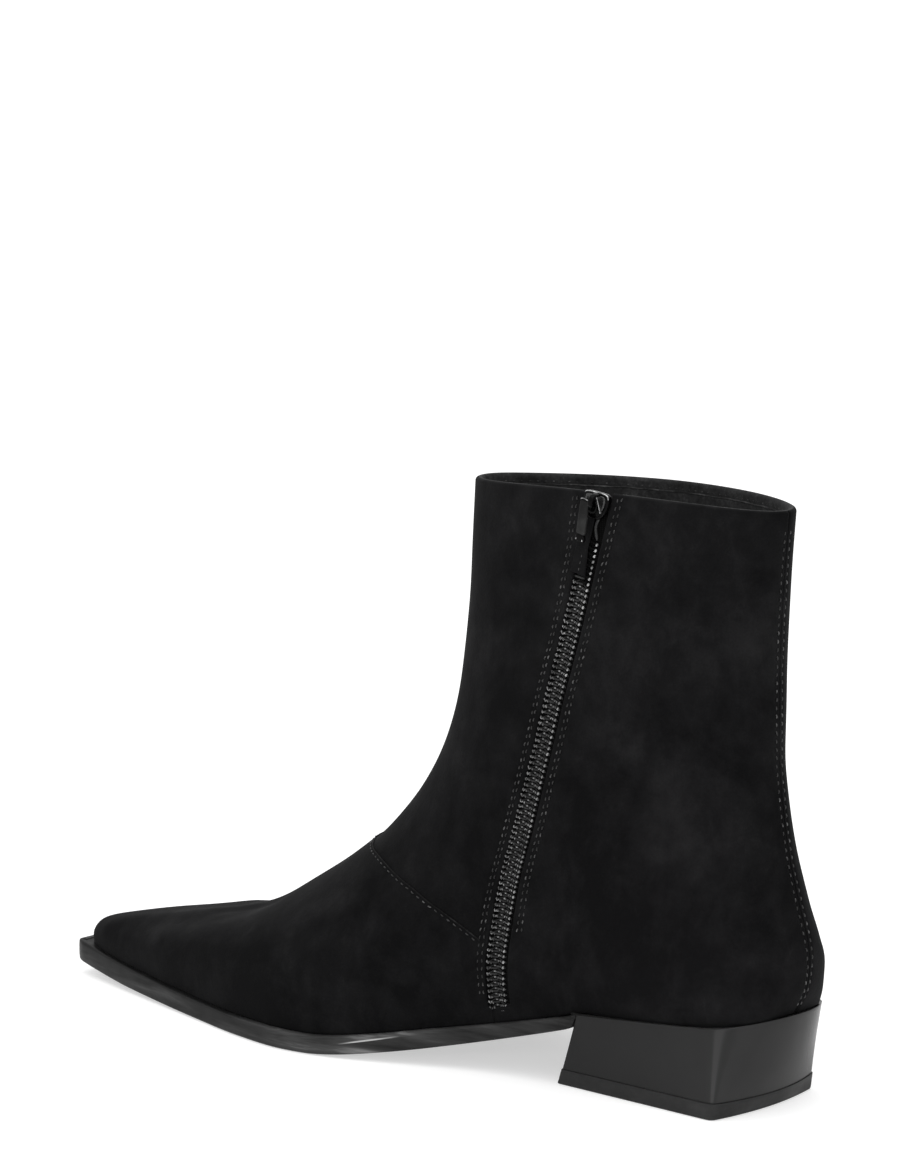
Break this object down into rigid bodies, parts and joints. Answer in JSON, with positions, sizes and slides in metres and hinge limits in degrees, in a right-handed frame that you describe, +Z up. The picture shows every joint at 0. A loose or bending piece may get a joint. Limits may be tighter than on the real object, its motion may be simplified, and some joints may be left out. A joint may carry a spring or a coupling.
{
  "type": "ankle boot",
  "caption": "Flat pointed ankle boot for the right foot in black suede, with an inside zip, a thin sole and a low block heel.",
  "frame": {"origin": "bottom centre of the boot's box, on the floor that it stands on", "axes": "+X to the toe, +Y to the inner (medial) side, +Z up"},
  "size_m": [0.2898, 0.086, 0.1847],
  "materials": {
    "suede": "brushed nap, matte",
    "sole": "waxed edge, satin",
    "sock": "smooth, dull",
    "heel": "lacquered, satin gloss",
    "lift": "moulded, dull",
    "coil": "woven tape and coil",
    "slider": "black, polished"
  },
  "bodies": {
    "boot": {"upper": "suede", "outsole": "sole", "insole": "sock", "heel": "heel", "heel_toplift": "lift", "zip_chain": "coil", "zip_slider": "slider"},
    "pull": {"zip_pull": "slider"}
  },
  "joints": [
    {"name": "pull_swing", "type": "hinge", "parent": "boot", "child": "pull", "pos_m": [-0.08329, 0.02142, 0.18138], "axis": [0.9714, 0.0274, 0.2357], "range_deg": [0, 150]}
  ]
}
